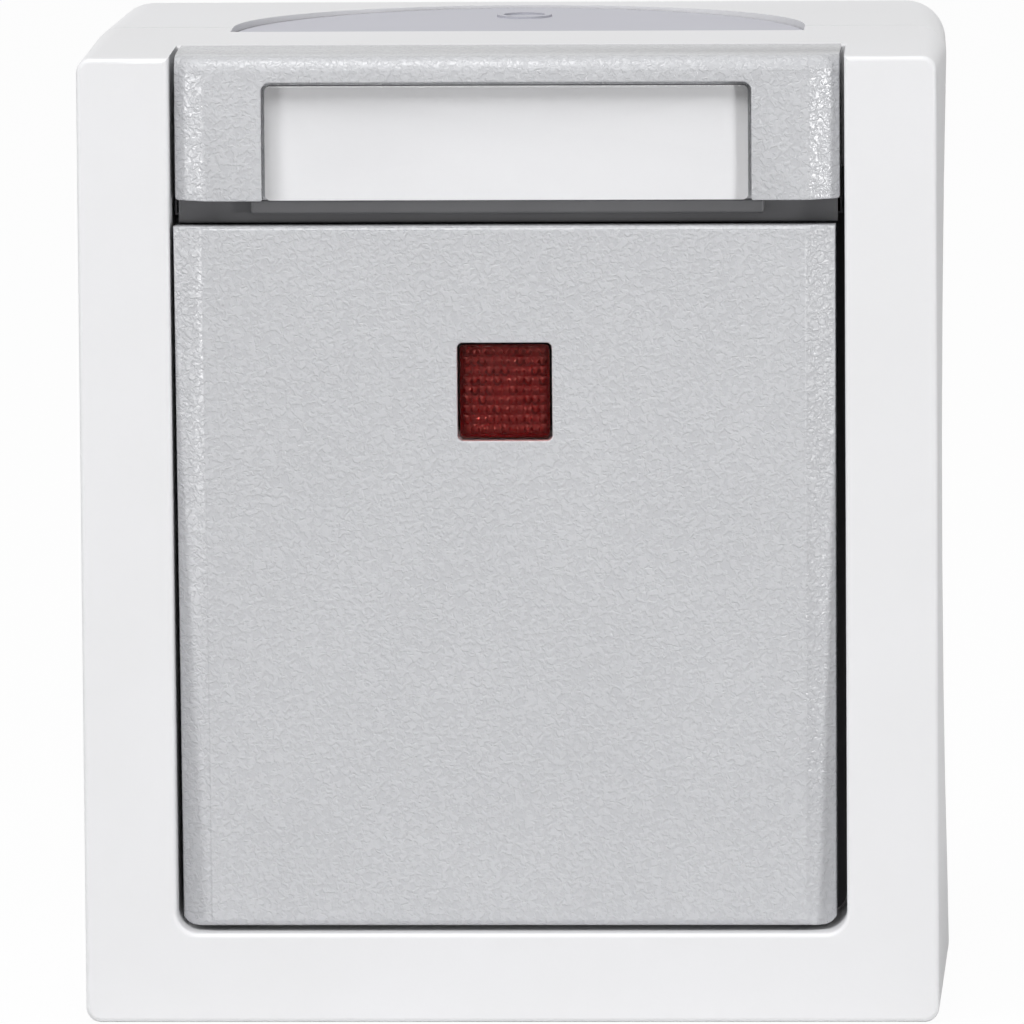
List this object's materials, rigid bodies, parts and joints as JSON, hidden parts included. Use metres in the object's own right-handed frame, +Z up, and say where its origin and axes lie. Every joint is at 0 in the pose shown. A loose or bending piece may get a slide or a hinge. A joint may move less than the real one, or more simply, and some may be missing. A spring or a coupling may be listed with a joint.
{
  "type": "outdoor weatherproof switch",
  "caption": "Surface-mounted weatherproof rocker switch with a U-shaped white frame, label window, red lens and soft cable entries.",
  "frame": {"origin": "middle of the flat mounting face of the back box, on the wall plane", "axes": "+X to the right seen from the front, +Z up, the front faces -Y"},
  "size_m": [0.0772, 0.0553, 0.0864],
  "materials": {
    "white_plastic": "satin",
    "grey_grained": "fine spark grain",
    "soft_grey": "matt",
    "dark_rubber": "matt",
    "label_card": "blank",
    "clear_plastic": "clear and polished",
    "red_lens": "clear red with prisms",
    "zinc_steel": "zinc plated",
    "spring_steel": "bright",
    "brass": "stamped",
    "silver": "polished silver",
    "insert_plastic": "moulded",
    "mechanism_plastic": "moulded",
    "key_plastic": "moulded",
    "lamp_glass": "clear"
  },
  "bodies": {
    "housing": {"back_box": "white_plastic", "cable_entry_top": "soft_grey", "cable_entry_bottom": "soft_grey", "box_gasket": "dark_rubber", "front_cover": "white_plastic", "cover_screws": "zinc_steel", "sealing_membrane": "dark_rubber", "label_strip": "grey_grained", "label_card": "label_card", "label_window": "clear_plastic", "support_plate": "zinc_steel", "support_screws": "zinc_steel", "socket": "insert_plastic", "mechanism_cap": "mechanism_plastic", "common_contact": "brass", "top_contact": "brass", "bottom_contact": "brass", "fixed_contacts": "silver", "terminal_springs": "spring_steel", "lamp_holder": "mechanism_plastic", "neon_lamp": "lamp_glass", "lamp_pins": "brass"},
    "rocker": {"rocker": "grey_grained", "lens": "red_lens", "cradle": "mechanism_plastic", "snap_spring": "spring_steel"},
    "contact_lever": {"contact_lever": "brass", "lever_contacts": "silver"},
    "release_lever_left": {"release_lever_left": "key_plastic"},
    "release_lever_right": {"release_lever_right": "key_plastic"}
  },
  "joints": [
    {"name": "rocker_tilt", "type": "hinge", "parent": "housing", "child": "rocker", "pos_m": [0, -0.046, -0.00287], "axis": [1, 0, 0], "range_deg": [-5, 0], "deforming": ["snap_spring"]},
    {"name": "contact_changeover", "type": "hinge", "parent": "housing", "child": "contact_lever", "pos_m": [0, -0.0333, -0.00287], "axis": [1, 0, 0], "range_deg": [0, 16]},
    {"name": "release_left", "type": "slide", "parent": "housing", "child": "release_lever_left", "axis": [0, -1, 0], "range_m": [0, 0.0015], "stiffness_N_per_m": 800, "springref_m": -0.001},
    {"name": "release_right", "type": "slide", "parent": "housing", "child": "release_lever_right", "axis": [0, -1, 0], "range_m": [0, 0.0015], "stiffness_N_per_m": 800, "springref_m": -0.001}
  ],
  "couplings": [
    {"joint": "contact_changeover", "follows": "rocker_tilt", "ratio": -3.2}
  ]
}
